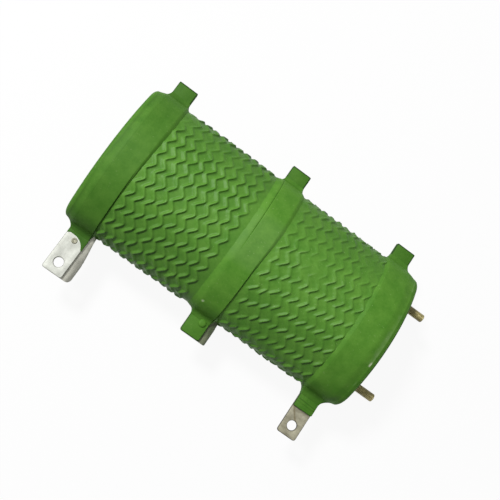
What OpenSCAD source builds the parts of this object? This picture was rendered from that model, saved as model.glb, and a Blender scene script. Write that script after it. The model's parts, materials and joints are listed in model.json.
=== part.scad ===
// Flat oval power resistor: corrugated ribbon wound on a ceramic tube, with three strap bands.
// X runs along the tube, with the mounting studs at +X. Y runs across it, with the terminals
// at -Y. Z is up, through the broad front face. The origin is the middle of the two studs,
// on the tube's right end face.

/* [Ceramic core] */
// Length of the tube
core_l = 150; // [130:1:200]
// Width across the oval
core_w = 70; // [64:1:90]
// Thickness through the oval
core_t = 40; // [36:1:48]
// Radius of the oval's two narrow sides
side_r = 13; // [10:0.5:15]
// Rounding of the outer edge at both ends
rim_r = 2.5; // [1:0.5:4]
// Wall between the broad faces and the round-sided hollow
wall_t = 7; // [6:0.5:11]
// Solid web on each side of the hollow, which takes a screw
web_w = 20; // [18.5:0.5:22]

/* [Winding] */
// Distance from one turn to the next
ribbon_pitch = 4.35; // [4:0.05:6]
// Corrugations in one turn
waves_per_turn = 23.9; // [18:0.1:28]
// Height of a corrugation to each side of the turn's middle
wave_amp = 1.2; // [0.8:0.1:1.4]
// Thickness of the coated ribbon
ribbon_thick = 0.9; // [0.6:0.1:1]
// Height that the ribbon stands up from the core
ribbon_h = 1; // [0.6:0.1:1.1]
// Left band to the first turn of the left winding
left_first_gap = 3.4; // [3.2:0.1:6]
// Least space from the left winding's last turn to the centre band
left_last_gap = 6; // [3:0.1:8]
// Centre band to the first turn of the right winding
right_first_gap = 4.6; // [3.2:0.1:6]
// Least space from the right winding's last turn to the right band
right_last_gap = 3; // [3:0.1:8]

/* [Bands] */
// Width of the strap
strap_w = 10; // [8:0.5:12]
// Thickness of the strap
strap_t = 1.2; // [1.2:0.1:2]
// Middle of the left band from the tube's left end
left_band_inset = 11; // [9:0.5:16]
// Middle of the right band from the tube's right end
right_band_inset = 12.5; // [9:0.5:16]
// Centre band's distance from the middle of the tube, towards the studs
centre_band_shift = 0.8; // [-5:0.1:5]
// Inside radius where a lug bends out of its band
bend_r = 0.8; // [0.4:0.1:1.2]

/* [Lugs and terminals] */
// Short lugs at +Y, from the tube's side to the tip
upper_lug_l = 10; // [8:0.5:16]
// Centre lug at -Y
centre_lug_l = 12; // [9:0.5:18]
// Front lug that covers the root of the right terminal
cover_lug_l = 10.4; // [8:0.2:14]
// Terminals at -Y
terminal_l = 23.8; // [20:0.2:30]
// Rounding of the lugs' corners
lug_corner_r = 1; // [0.5:0.1:2]
// Rounding of the left rear terminal's tip
left_tip_corner_r = 3; // [1:0.5:4.5]
// Rounding of the right terminal's tip
right_tip_corner_r = 1.2; // [0.5:0.1:4.5]
// Hole in each terminal
terminal_hole_d = 4.5; // [3:0.1:5.5]
// Middle of the hole from the terminal's tip
terminal_hole_in = 5.4; // [4.5:0.1:7]
// Inside radius of the edge rolled back on the rear lugs
roll_r = 3; // [2:0.5:5]
// How far that edge is rolled back, in degrees
roll_angle = 55; // [30:5:80]

/* [Rivets] */
// Rivet shank
rivet_d = 1.8; // [1.2:0.1:2.4]
// Rivet head across
rivet_head_d = 3.2; // [2.6:0.1:3.6]
// Rivet head height
rivet_head_h = 0.5; // [0.3:0.1:1]
// Left rivet's middle from the tube's side
left_rivet_out = 7; // [5:0.1:10]
// Centre rivet's middle from the tube's side
centre_rivet_out = 4.2; // [4:0.1:8]
// Centre rivet's distance from the middle of its lug, towards the studs
centre_rivet_shift = 1.8; // [-2:0.1:2]

/* [Mounting screws] */
// Thread of the screws
screw_d = 4; // [3:0.5:5]
// Middle of a screw from the tube's side
screw_in = 12.8; // [11:0.2:13.8]
// How far the studs stand out of the right end
stud_l = 12.5; // [8:0.5:30]
// How much thinner the plain shank inside the tube is than the thread
shank_less = 0.5; // [0.2:0.1:0.8]
// Depth of the wider mouth of a bore at the right end, where the thread starts
mouth_depth = 1.2; // [0.8:0.1:3]
// Chamfer at the studs' tips
stud_chamfer = 0.6; // [0.2:0.1:1]
// Screw head across
head_d = 7; // [6:0.5:8]
// Screw head height
head_h = 2.6; // [1.5:0.1:4]
// Width of the screwdriver slot
slot_w = 1.2; // [0.8:0.1:1.6]
// Depth of the screwdriver slot
slot_depth = 1.2; // [0.6:0.1:1.4]
// Washer across
washer_d = 9; // [8:0.5:10]
// Washer thickness
washer_t = 0.8; // [0.5:0.1:1.5]
// Depth that a screw head lies below the left end face
head_sink = 1.6; // [0.5:0.1:4]

/* [Clearances] */
// Band to core
strap_clear = 0.05; // [0.02:0.01:0.2]
// Front lug to rear lug
lug_gap = 0.1; // [0.05:0.05:0.3]
// Ribbon to core and to the band that it ends at
ribbon_clear = 0.05; // [0.02:0.01:0.2]
// Around a screw's shank, on the radius
screw_clear = 0.25; // [0.1:0.05:0.4]
// Around a stud in the mouth of its bore, on the radius
mouth_clear = 1.25; // [1:0.05:2]
// Around a washer in its recess, on the radius
washer_clear = 0.25; // [0.1:0.05:0.5]
// Around a rivet's shank, on the radius
rivet_clear = 0.05; // [0.02:0.01:0.1]

/* [Hidden] */
$fn = 96;
// Extra length of a cutting body past the faces that it cuts
cut = 1;
green = [0.24, 0.44, 0.16];
tinned = [0.84, 0.85, 0.82];
brass = [0.62, 0.5, 0.33];

// The oval: two wide face arcs that run into two narrow side arcs. The side arcs stand this
// little proud of a smooth join, so that they cross the face arcs instead of just touching them
side_lap = 0.05;
side_c = core_w / 2 - side_r;
join_r = side_r - side_lap;
face_r = (side_c^2 + (core_t / 2)^2 - join_r^2) / (core_t - 2 * join_r);
face_c = face_r - core_t / 2;
face_half = asin(side_c / (face_r - join_r));
side_half = 90 - face_half;
// The hollow is never higher than it is wide
hollow_w = core_w - 2 * web_w;
hollow_t = min(core_t - 2 * wall_t, hollow_w);
// Lengths of the arcs and of the whole outline
face_len = face_r * 2 * face_half * PI / 180;
side_len = side_r * 2 * side_half * PI / 180;
round_len = 2 * (face_len + side_len);

// One straight stretch of ribbon, from a corner to the next
half_wave = round_len / (2 * waves_per_turn);
// A stretch dips between its corners on the narrow sides, so the ribbon starts this far out
wall_gap = half_wave^2 / (8 * side_r) + ribbon_clear;
// Share of a turn over which a ribbon's end leads to its band
lead_share = 0.25;

left_x = -core_l + left_band_inset;
centre_x = -core_l / 2 + centre_band_shift;
right_x = -right_band_inset;
// The inner face of a lug pair's front and rear layer
lug_z = lug_gap / 2;
// Where the flat part of a lug begins, and where its bend ends
lug_root = strap_clear + strap_t;
lug_bend_end = lug_root + bend_r;
roll_w = (roll_r + strap_t) * sin(roll_angle);
// The rolled edge starts clear of the winding
roll_start = max(lug_bend_end, ribbon_h + wall_gap + ribbon_clear);
terminal_hole_y = -(core_w / 2 + terminal_l - terminal_hole_in);
washer_seat = head_sink + head_h + washer_t;

// Turns the tube's own axis from Z to X, and its section from XY to YZ
module along_tube() rotate([90, 0, 90]) children();

// The zone of the section that the face arcs bound: it ends on lines from the side arcs' centres
module face_zone() {
    line_end = [side_c, 0] + core_t * [sin(face_half), cos(face_half)];
    polygon([
        [side_c, 0], line_end, [-line_end[0], line_end[1]],
        [-side_c, 0], -line_end, [line_end[0], -line_end[1]]
    ]);
}

// The oval section, larger by grow all round
module oval(grow) {
    intersection() {
        translate([0, -face_c])
            circle(face_r + grow);
        translate([0, face_c])
            circle(face_r + grow);
        face_zone();
    }
    for (side = [-1, 1])
        translate([side * side_c, 0])
            circle(side_r + grow);
}

// Sets a body that runs along the tube at one of the two mounting screws
module at_screw(side) along_tube() translate([side * (core_w / 2 - screw_in), 0]) children();

// A disc of the core's length with both end edges rounded over
module round_disc(r) {
    along_tube()
        translate([0, 0, -core_l])
            rotate_extrude() {
                square([r - rim_r, core_l]);
                translate([0, rim_r])
                    square([r, core_l - 2 * rim_r]);
                for (y = [rim_r, core_l - rim_r])
                    translate([r - rim_r, y])
                        circle(rim_r);
            }
}

// Section of the hollow: a slot with half-round sides
module hollow() {
    round_c = (hollow_w - hollow_t) / 2;
    square([2 * round_c, hollow_t], center = true);
    for (side = [-1, 1])
        translate([side * round_c, 0])
            circle(d = hollow_t);
}

module ceramic_core() {
    color(green)
        difference() {
            union() {
                intersection() {
                    translate([0, 0, -face_c])
                        round_disc(face_r);
                    translate([0, 0, face_c])
                        round_disc(face_r);
                    along_tube()
                        translate([0, 0, -core_l - cut])
                            linear_extrude(core_l + 2 * cut)
                                face_zone();
                }
                for (side = [-1, 1])
                    translate([0, side * side_c, 0])
                        round_disc(side_r);
            }
            along_tube()
                translate([0, 0, -core_l - cut])
                    linear_extrude(core_l + 2 * cut)
                        hollow();
            for (side = [-1, 1])
                at_screw(side) {
                    translate([0, 0, -core_l - cut])
                        cylinder(d = screw_d + 2 * screw_clear, h = core_l + 2 * cut);
                    translate([0, 0, -core_l - cut])
                        cylinder(d = washer_d + 2 * washer_clear, h = washer_seat + cut);
                    translate([0, 0, -mouth_depth])
                        cylinder(d = screw_d + 2 * mouth_clear, h = mouth_depth + cut);
                }
        }
}

// A point of the oval, out by the given distance, at a share of a turn from the middle of the front
function arc_point(centre, radius, angle) = centre + radius * [sin(angle), cos(angle)];
function oval_point(share, out) =
    let (
        along = (share - floor(share)) * round_len,
        face_end = face_len / 2,
        side_end = face_end + side_len,
        rear_end = side_end + face_len,
        far_end = rear_end + side_len
    )
    along < face_end
        ? arc_point([0, -face_c], face_r + out, along / face_r * 180 / PI)
    : along < side_end
        ? arc_point([side_c, 0], side_r + out, face_half + (along - face_end) / side_r * 180 / PI)
    : along < rear_end
        ? arc_point([0, face_c], face_r + out, 180 - face_half + (along - side_end) / face_r * 180 / PI)
    : along < far_end
        ? arc_point([-side_c, 0], side_r + out, 180 + face_half + (along - rear_end) / side_r * 180 / PI)
    : arc_point([0, -face_c], face_r + out, (along - round_len) / face_r * 180 / PI);

// A corrugated strip on edge, from one band to the next: the turns keep their pitch, and both
// ends, on the rear, lead to the bands
module ribbon(from_x, to_x, first_gap, last_gap) {
    turns = 1 + floor((to_x - from_x - first_gap - last_gap) / ribbon_pitch);
    // Turns are counted from the middle of the front, so the ribbon starts half a turn before
    start = -0.5;
    steps = round(2 * waves_per_turn * turns);
    half_w = ribbon_thick / 2 / cos(atan(2 * wave_amp / half_wave));
    reach = wave_amp + half_w + ribbon_clear;
    function lead(turn) =
        let (from_end = min(turn - start, start + turns - turn))
        max(0, 1 - from_end / lead_share);
    function middle(turn) =
        let (
            first_half = turn - start < turns / 2,
            end_x = first_half ? from_x + reach : to_x - reach,
            coil_x = from_x + first_gap + ribbon_pitch * turn,
            x = coil_x + (end_x - coil_x) * lead(turn)
        )
        first_half ? max(x, end_x) : min(x, end_x);
    points = [
        for (i = [0 : steps])
            let (turn = start + turns * i / steps)
            let (x = middle(turn) + wave_amp * (i % 2 == 0 ? 1 : -1))
            for (corner = [[-1, 0], [1, 0], [1, 1], [-1, 1]])
                let (yz = oval_point(turn, wall_gap + corner[1] * ribbon_h))
                [x + corner[0] * half_w, yz[0], yz[1]]
    ];
    sides = [
        for (i = [0 : steps - 1], k = [0 : 3])
            let (a = 4 * i + k, b = 4 * i + (k + 1) % 4)
            each [[a, b, b + 4], [a, b + 4, a + 4]]
    ];
    polyhedron(points, concat([[3, 2, 1, 0]], sides, [[for (k = [0 : 3]) 4 * steps + k]]));
}

module resistance_ribbon_left() {
    color(green)
        ribbon(left_x + strap_w / 2, centre_x - strap_w / 2, left_first_gap, left_last_gap);
}

module resistance_ribbon_right() {
    color(green)
        ribbon(centre_x + strap_w / 2, right_x - strap_w / 2, right_first_gap, right_last_gap);
}

// Plan of a lug that runs along +Y from the tube's middle to its tip, with rounded corners
module lug_plan(reach, width, corner_r) {
    translate([-strap_w / 2, 0]) {
        square([width, reach - corner_r]);
        translate([corner_r, 0])
            square([width - 2 * corner_r, reach]);
        for (x = [corner_r, width - corner_r])
            translate([x, reach - corner_r])
                circle(corner_r);
    }
}

// The edge of a lug rolled away from its pair, beside the lug at +X
module rolled_edge(length) {
    translate([strap_w / 2, core_w / 2 + length, lug_z + strap_t + roll_r])
        rotate([90, 0, 0])
            rotate(-90)
                rotate_extrude(angle = roll_angle)
                    translate([roll_r, 0])
                        square([strap_t, length - roll_start]);
}

// The fillet where a lug bends out of its band
module lug_bend() {
    lap = strap_t / 2;
    translate([-strap_w / 2, 0, 0])
        along_tube()
            linear_extrude(strap_w)
                translate([core_w / 2 + lug_root, lug_z + strap_t])
                    difference() {
                        translate([-lap, -lap])
                            square(bend_r + lap);
                        translate([bend_r, bend_r])
                            circle(bend_r);
                    }
}

// A flat lug that starts inside the band's wall
module lug(length, corner_r, rolled) {
    flat_start = strap_clear + strap_t / 2;
    intersection() {
        union() {
            translate([-strap_w / 2, core_w / 2 + flat_start, lug_z])
                cube([strap_w, length - flat_start, strap_t]);
            if (rolled)
                rolled_edge(length);
        }
        linear_extrude(core_t)
            lug_plan(core_w / 2 + length, strap_w + (rolled ? roll_w : 0), corner_r);
    }
    lug_bend();
}

// Half a band on the +Z side of the core, with its lugs, at the origin of the tube's length
module half_band(upper_l, lower_l, lower_corner_r, rolled = false) {
    intersection() {
        along_tube()
            linear_extrude(strap_w, center = true)
                difference() {
                    oval(strap_clear + strap_t);
                    oval(strap_clear);
                }
        translate([-strap_w, -core_w, lug_z])
            cube([2 * strap_w, 2 * core_w, core_t]);
    }
    lug(upper_l, lug_corner_r, false);
    mirror([0, 1, 0])
        lug(lower_l, lower_corner_r, rolled);
}

// A hole through both layers of a lug
module lug_hole(x, y, d) {
    translate([x, y, -core_t / 2])
        cylinder(d = d, h = core_t);
}

module rivet_hole(shift, out) lug_hole(shift, -core_w / 2 - out, rivet_d + 2 * rivet_clear);

module terminal_hole() lug_hole(0, terminal_hole_y, terminal_hole_d);

module left_band_front() {
    color(tinned)
        translate([left_x, 0, 0])
            difference() {
                half_band(upper_lug_l, terminal_l, lug_corner_r);
                terminal_hole();
                rivet_hole(0, left_rivet_out);
            }
}

module left_band_rear() {
    color(tinned)
        translate([left_x, 0, 0])
            mirror([0, 0, 1])
                difference() {
                    half_band(upper_lug_l, terminal_l, left_tip_corner_r, rolled = true);
                    terminal_hole();
                    rivet_hole(0, left_rivet_out);
                }
}

module centre_band_front() {
    color(green)
        translate([centre_x, 0, 0])
            difference() {
                half_band(upper_lug_l, centre_lug_l, lug_corner_r);
                rivet_hole(centre_rivet_shift, centre_rivet_out);
            }
}

module centre_band_rear() {
    color(green)
        translate([centre_x, 0, 0])
            mirror([0, 0, 1])
                difference() {
                    half_band(upper_lug_l, centre_lug_l, lug_corner_r, rolled = true);
                    rivet_hole(centre_rivet_shift, centre_rivet_out);
                }
}

module right_band_front() {
    color(green)
        translate([right_x, 0, 0])
            half_band(upper_lug_l, cover_lug_l, lug_corner_r);
}

module right_band_rear() {
    color(tinned)
        translate([right_x, 0, 0])
            mirror([0, 0, 1])
                difference() {
                    half_band(upper_lug_l, terminal_l, right_tip_corner_r);
                    terminal_hole();
                }
}

// A rivet through a lug pair, with a flat head on both faces
module rivet(x, out) {
    grip = lug_z + strap_t;
    translate([x, -core_w / 2 - out, 0]) {
        cylinder(d = rivet_d, h = 2 * grip, center = true);
        for (side = [0, 1])
            mirror([0, 0, side])
                translate([0, 0, grip])
                    cylinder(d = rivet_head_d, h = rivet_head_h);
    }
}

module left_lug_rivet() color(brass) rivet(left_x, left_rivet_out);

module centre_lug_rivet() color(green) rivet(centre_x + centre_rivet_shift, centre_rivet_out);

// A long slotted screw from its sunk head at the left end to its stud at the right end
module mounting_screw(side) {
    color(brass)
        at_screw(side)
            translate([0, 0, head_sink - core_l])
                difference() {
                    union() {
                        cylinder(d = head_d, h = head_h);
                        tip = core_l - head_sink + stud_l;
                        thread_l = stud_l + mouth_depth / 2;
                        cylinder(d = screw_d - shank_less, h = tip - stud_chamfer);
                        translate([0, 0, tip - thread_l])
                            cylinder(d = screw_d, h = thread_l - stud_chamfer);
                        translate([0, 0, tip - stud_chamfer])
                            cylinder(d1 = screw_d, d2 = screw_d - 2 * stud_chamfer, h = stud_chamfer);
                    }
                    translate([-head_d, -slot_w / 2, -cut])
                        cube([2 * head_d, slot_w, slot_depth + cut]);
                }
}

module upper_screw() mounting_screw(1);

module lower_screw() mounting_screw(-1);

module washer(side) {
    color(brass)
        at_screw(side)
            translate([0, 0, head_sink + head_h - core_l])
                difference() {
                    cylinder(d = washer_d, h = washer_t);
                    translate([0, 0, -cut])
                        cylinder(d = screw_d + 2 * screw_clear, h = washer_t + 2 * cut);
                }
}

module upper_washer() washer(1);

module lower_washer() washer(-1);

ceramic_core();
resistance_ribbon_left();
resistance_ribbon_right();
left_band_front();
left_band_rear();
centre_band_front();
centre_band_rear();
right_band_front();
right_band_rear();
left_lug_rivet();
centre_lug_rivet();
upper_screw();
lower_screw();
upper_washer();
lower_washer();
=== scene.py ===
"""Looks of the power load resistor: green dipped coat over ribbon and bands, bare terminals, brass screws.
Lengths are in millimetres in the part's own frame, and become metres when a mesh is made."""
import json
import math
from collections import namedtuple

import bmesh
import bpy
import numpy as np
from mathutils import Matrix, Vector, noise


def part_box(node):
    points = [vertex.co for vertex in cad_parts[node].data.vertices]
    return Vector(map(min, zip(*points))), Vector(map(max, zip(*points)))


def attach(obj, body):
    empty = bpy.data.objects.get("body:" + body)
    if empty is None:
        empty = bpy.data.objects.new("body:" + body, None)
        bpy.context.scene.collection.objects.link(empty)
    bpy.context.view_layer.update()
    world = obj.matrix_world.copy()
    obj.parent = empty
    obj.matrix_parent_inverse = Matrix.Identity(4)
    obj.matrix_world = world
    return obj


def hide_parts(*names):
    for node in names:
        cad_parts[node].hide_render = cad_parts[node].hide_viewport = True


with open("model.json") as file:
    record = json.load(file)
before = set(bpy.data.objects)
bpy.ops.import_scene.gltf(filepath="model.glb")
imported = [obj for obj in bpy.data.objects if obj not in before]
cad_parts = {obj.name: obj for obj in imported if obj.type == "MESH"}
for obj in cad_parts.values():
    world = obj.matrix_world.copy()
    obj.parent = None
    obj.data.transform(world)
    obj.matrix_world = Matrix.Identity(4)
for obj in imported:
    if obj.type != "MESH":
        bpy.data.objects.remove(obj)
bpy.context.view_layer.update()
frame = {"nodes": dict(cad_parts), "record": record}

MM = 0.001
X, Y, Z = 0, 1, 2
QUARTER = math.pi / 2


# Sizes that the frame gives

def span(node, axis):
    """Lowest and highest place of a CAD node along an axis."""
    return [round(corner[axis] / MM, 3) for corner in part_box(node)]


def middle(node):
    """X and Y of a CAD node's middle."""
    low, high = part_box(node)
    return [round((low[axis] + high[axis]) / 2 / MM, 3) for axis in (X, Y)]


def terminal_hole(mount_name):
    """X, Y and diameter of a terminal's hole, from the mount of that name."""
    mount = next(m for m in frame["record"]["mounts"] if m["name"] == mount_name)
    x, y, _ = mount["pos_m"]
    return round(x / MM, 3), round(y / MM, 3), 2 * mount["dims"]["r_mm"]


CORE_X = span("ceramic_core", X)
LEFT_BAND = span("left_band_front", X)
CENTRE_BAND = span("centre_band_front", X)
RIGHT_BAND = span("right_band_front", X)
TERMINAL_TIP, UPPER_TIP = span("left_band_front", Y)
CENTRE_TIP = span("centre_band_front", Y)[0]
COVER_TIP = span("right_band_front", Y)[0]
LUG_Z = span("left_band_front", Z)[0]
HEAD_X, STUD_TIP = span("upper_screw", X)

# Sizes as in the part's source. The oval has wide face arcs, and side arcs a little proud of a smooth join
CORE_W = 70.0
CORE_T = 40.0
SIDE_R = 13.0
SIDE_LAP = 0.05
RIM_R = 2.5
SIDE_C = CORE_W / 2 - SIDE_R
JOIN_R = SIDE_R - SIDE_LAP
FACE_R = (SIDE_C ** 2 + (CORE_T / 2) ** 2 - JOIN_R ** 2) / (CORE_T - 2 * JOIN_R)
FACE_C = FACE_R - CORE_T / 2
FACE_HALF = math.asin(SIDE_C / (FACE_R - JOIN_R))
FACE_LEN = FACE_R * 2 * FACE_HALF
SIDE_LEN = SIDE_R * 2 * (QUARTER - FACE_HALF)
ROUND_LEN = 2 * (FACE_LEN + SIDE_LEN)
# The lugs lie a quarter of the way round the oval from the front's middle line
APEX = ROUND_LEN / 4

# The ribbon's turns, their pitch, and its zigzag
TURNS = 11
PITCH = 4.35
WAVE_AMP = 1.2
HALF_WAVES = 526
RIBBON_T = 0.9
RIBBON_CLEAR = 0.05
LEAD_TURNS = 0.25
LEFT_FIRST_GAP = 3.4
RIGHT_FIRST_GAP = 4.6
WAVES = HALF_WAVES / (2 * TURNS)
LEG_ANGLE = math.atan(2 * WAVE_AMP * 2 * WAVES / ROUND_LEN)
ZIGZAG_REACH = WAVE_AMP + RIBBON_T / 2 / math.cos(LEG_ANGLE) + RIBBON_CLEAR

# The strap's thickness, the two layers of a lug, and the rolled edge of the rear sheets
STRAP_T = 1.2
FRONT = (LUG_Z, LUG_Z + STRAP_T)
REAR = (-FRONT[1], -FRONT[0])
ROLL_R = 3.0
# Lugs start this far from the tube's axis, hidden in their band's ring
LUG_ROOT = CORE_W / 2 - 1


# Shapes on the oval. Along is a distance round it, from the middle of the front towards +Y

def oval(along, out):
    """Points (y, z) at a distance out from the oval."""
    a = np.mod(along, ROUND_LEN)
    front_end = FACE_LEN / 2
    side_end = front_end + SIDE_LEN
    rear_end = side_end + FACE_LEN
    front = (a < front_end) | (a >= rear_end + SIDE_LEN)
    side = (a >= front_end) & (a < side_end)
    rear = (a >= side_end) & (a < rear_end)
    kinds = [front, side, rear]
    angle = np.select(kinds, [
        np.where(a < front_end, a, a - ROUND_LEN) / FACE_R,
        FACE_HALF + (a - front_end) / SIDE_R,
        math.pi - FACE_HALF + (a - side_end) / FACE_R,
    ], math.pi + FACE_HALF + (a - rear_end) / SIDE_R)
    y = np.select(kinds, [0.0, SIDE_C, 0.0], -SIDE_C)
    z = np.select(kinds, [-FACE_C, 0.0, FACE_C], 0.0)
    r = np.where(front | rear, FACE_R, SIDE_R) + out
    return y + r * np.sin(angle), z + r * np.cos(angle)


def on_oval(x, along, out):
    """Points (x, y, z) of a grid at a distance out from the oval."""
    y, z = oval(np.ravel(along), np.ravel(out))
    return np.stack([np.ravel(x), y, z], 1)


def smooth(low, high, value):
    """Soft step from 0 at low to 1 at high."""
    t = np.clip((value - low) / (high - low), 0, 1)
    return t * t * (3 - 2 * t)


def bell(value, centre, width):
    """1 at a centre, falling off softly to both sides."""
    return np.exp(-((value - centre) / width) ** 2)


def round_from(along, centre=0.0):
    """Signed distance round the oval from a place on it, the shorter way."""
    return np.mod(along - centre + ROUND_LEN / 2, ROUND_LEN) - ROUND_LEN / 2


def near(along, centre, width):
    """1 up to half of width from a place on the oval, 0 from width on."""
    return 1 - smooth(width / 2, width, np.abs(round_from(along, centre)))


def unevenness(x, along, size, seed):
    """Waves of about the given size over the coat, from -1 to 1 and closed round the tube."""
    k = max(1, round(ROUND_LEN / size))
    u = 2 * np.pi * along / ROUND_LEN
    v = 2 * np.pi * x / size
    slow = np.sin(k * u + 0.8 * v + seed) + np.sin((k + 1) * u - 0.9 * v + 2.3 * seed)
    crossing = np.sin(0.7 * v + 3.1 * seed + 2 * np.sin(u + seed))
    quick = np.sin((2 * k + 1) * u + 1.7 * v + seed)
    return (slow + crossing + quick) / 4


# Painted shade on the sides, darker towards +Y and -Y and most near the edges: where it grows or ends, off
# the front's middle line, and its shares
SIDE_SHADE_UPPER = (8.0, 36.0)
SIDE_SHADE_LOWER = (6.0, 28.0)
SIDE_SHADE_EDGE = (34.0, 44.0)
SIDE_SHADE_END = (60.0, 80.0)
SIDE_SHADE_SHARE = 0.3
SIDE_SHADE_EDGE_SHARE = 0.15


def side_shade_keep(along):
    """Share of the coat's tone left round the oval under the painted shade on its sides."""
    side = round_from(along)
    upper = smooth(*SIDE_SHADE_UPPER, side) * (1 - smooth(*SIDE_SHADE_END, side))
    lower = smooth(*SIDE_SHADE_LOWER, -side) * (1 - smooth(*SIDE_SHADE_END, -side))
    edge = smooth(*SIDE_SHADE_EDGE, np.abs(side))
    return 1 - (SIDE_SHADE_SHARE + SIDE_SHADE_EDGE_SHARE * edge) * (upper + lower)


# Meshes

def outward(mesh, merge=0.0):
    """Turns a closed mesh's faces outwards, once points closer than a distance in metres are merged."""
    bm = bmesh.new()
    bm.from_mesh(mesh)
    if merge:
        bmesh.ops.remove_doubles(bm, verts=bm.verts, dist=merge)
    bmesh.ops.recalc_face_normals(bm, faces=bm.faces)
    if bm.calc_volume(signed=True) < 0:
        bmesh.ops.reverse_faces(bm, faces=bm.faces)
    bm.to_mesh(mesh)
    bm.free()
    return mesh


def solid(verts, faces, merge=0.0):
    """Mesh of points in millimetres."""
    mesh = bpy.data.meshes.new("solid")
    mesh.from_pydata((np.asarray(verts, float) * MM).tolist(), [], [list(map(int, f)) for f in faces])
    return outward(mesh, merge)


def joined(meshes):
    """One mesh from several closed ones, which are removed."""
    bm = bmesh.new()
    for part in meshes:
        bm.from_mesh(part)
        bpy.data.meshes.remove(part)
    mesh = bpy.data.meshes.new("joined")
    bm.to_mesh(mesh)
    bm.free()
    return mesh


def flipped(mesh):
    """The same mesh mirrored to the other side of the lugs."""
    mesh.transform(Matrix.Diagonal((1, 1, -1, 1)))
    return outward(mesh)


def link(name, data):
    """Puts a mesh, curve, light or camera in the scene."""
    obj = bpy.data.objects.new(name, data)
    bpy.context.scene.collection.objects.link(obj)
    return obj


def evaluated(obj):
    """Mesh of an object with its curve filled or its modifiers applied."""
    bpy.context.view_layer.update()
    return bpy.data.meshes.new_from_object(obj.evaluated_get(bpy.context.evaluated_depsgraph_get()))


def cut(mesh, tool):
    """Mesh with the space of a bmesh tool cut away; both are removed."""
    tool_mesh = bpy.data.meshes.new("tool")
    tool.to_mesh(tool_mesh)
    tool.free()
    body_obj = link("body", mesh)
    tool_obj = link("tool", tool_mesh)
    boolean = body_obj.modifiers.new("cut", "BOOLEAN")
    boolean.object = tool_obj
    boolean.operation = "DIFFERENCE"
    boolean.solver = "EXACT"
    result = evaluated(body_obj)
    # Their objects go with them
    for used in (mesh, tool_mesh):
        bpy.data.meshes.remove(used)
    return result


def around(count):
    """Even angles of a full turn."""
    return np.linspace(0, 2 * np.pi, count, endpoint=False)


def loft(loops):
    """Faces between neighbouring closed loops of points."""
    faces = []
    for this, after in zip(loops, loops[1:]):
        for i in range(len(this)):
            faces.append((this[i - 1], this[i], after[i], after[i - 1]))
    return faces


def set_shade_and_wear(mesh, values):
    """Per-point tone of the coat: 0 is the dark green of painted shade, 1 the plain coat, and more is pale,
    as wear and as painted highlight.
    """
    layer = mesh.attributes.new("shade_and_wear", "FLOAT", "POINT")
    layer.data.foreach_set("value", np.broadcast_to(values, len(mesh.vertices)).astype(np.float32))
    return mesh


def shaded(mesh, face, rim=None):
    """Sets how clean a plate's faces are and, if it differs, the rim between them."""
    heights = np.array([v.co.z for v in mesh.vertices])
    level = 1e-6
    between = (heights > heights.min() + level) & (heights < heights.max() - level)
    return set_shade_and_wear(mesh, face if rim is None else np.where(between, rim, face))


def place(name, mesh, material, replaces, sharp=None):
    """Makes a mesh a piece of the part, smooth but for edges above an angle in degrees."""
    mesh.materials.clear()
    mesh.materials.append(material)
    mesh.shade_smooth()
    if sharp is not None:
        mesh.set_sharp_from_angle(angle=math.radians(sharp))
    obj = link(name, mesh)
    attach(obj, "root")
    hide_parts(*replaces)
    return obj


# Materials

def srgb(*levels):
    """Linear colour of three levels from 0 to 255."""
    shares = [level / 255 for level in levels]
    return tuple(v / 12.92 if v <= 0.04045 else ((v + 0.055) / 1.055) ** 2.4 for v in shares)


class Nodes:
    """A node tree with a short call for each kind of node. An input is a socket or a plain value."""

    def __init__(self, owner):
        owner.use_nodes = True
        self.tree = owner.node_tree

    def feed(self, socket, value):
        if isinstance(value, bpy.types.NodeSocket):
            self.tree.links.new(value, socket)
        elif socket.type == "RGBA":
            socket.default_value = (*value, 1.0)
        else:
            socket.default_value = value

    def fill(self, node, inputs):
        for key, value in dict(inputs).items():
            self.feed(node.inputs[key], value)
        return node

    def new(self, kind, inputs=(), **settings):
        node = self.tree.nodes.new(kind)
        for name, value in settings.items():
            setattr(node, name, value)
        return self.fill(node, inputs)

    def place(self):
        """The point's place in the part's frame, in metres."""
        return self.new("ShaderNodeTexCoord").outputs["Object"]

    def noise(self, where, scale, detail=3.0, rough=0.55):
        inputs = {"Vector": where, "Scale": scale, "Detail": detail, "Roughness": rough}
        return self.new("ShaderNodeTexNoise", inputs).outputs["Fac"]

    def ramp(self, fac, *stops):
        node = self.new("ShaderNodeValToRGB", {"Fac": fac})
        elements = node.color_ramp.elements
        while len(elements) < len(stops):
            elements.new(0.5)
        for element, (position, colour) in zip(elements, stops):
            element.position = position
            element.color = (*colour, 1.0)
        return node.outputs["Color"]

    def mix(self, fac, first, second):
        """Colour between two others; the node's colours are inputs 6 and 7 and output 2."""
        return self.new("ShaderNodeMix", {0: fac, 6: first, 7: second}, data_type="RGBA").outputs[2]

    def math(self, operation, *values):
        return self.new("ShaderNodeMath", dict(enumerate(values)), operation=operation).outputs[0]

    def remap(self, value, source=(0.0, 1.0), target=(0.0, 1.0)):
        names = ("Value", "From Min", "From Max", "To Min", "To Max")
        return self.new("ShaderNodeMapRange", dict(zip(names, (value, *source, *target)))).outputs["Result"]

    def bump(self, height, strength, distance, under=None):
        inputs = {"Height": height, "Strength": strength, "Distance": distance}
        if under:
            inputs["Normal"] = under
        return self.new("ShaderNodeBump", inputs).outputs["Normal"]

    # Reads the per-point tone, which carries painted shade, wear and painted highlight
    def shade_and_wear(self):
        return self.new("ShaderNodeAttribute", attribute_name="shade_and_wear").outputs["Fac"]

    def sees_background(self):
        """1 for a ray that shows the background: from the camera, a reflection or through glass."""
        path = self.new("ShaderNodeLightPath").outputs
        bent = self.math("MAXIMUM", path["Is Glossy Ray"], path["Is Transmission Ray"])
        return self.math("MAXIMUM", path["Is Camera Ray"], bent)


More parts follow.
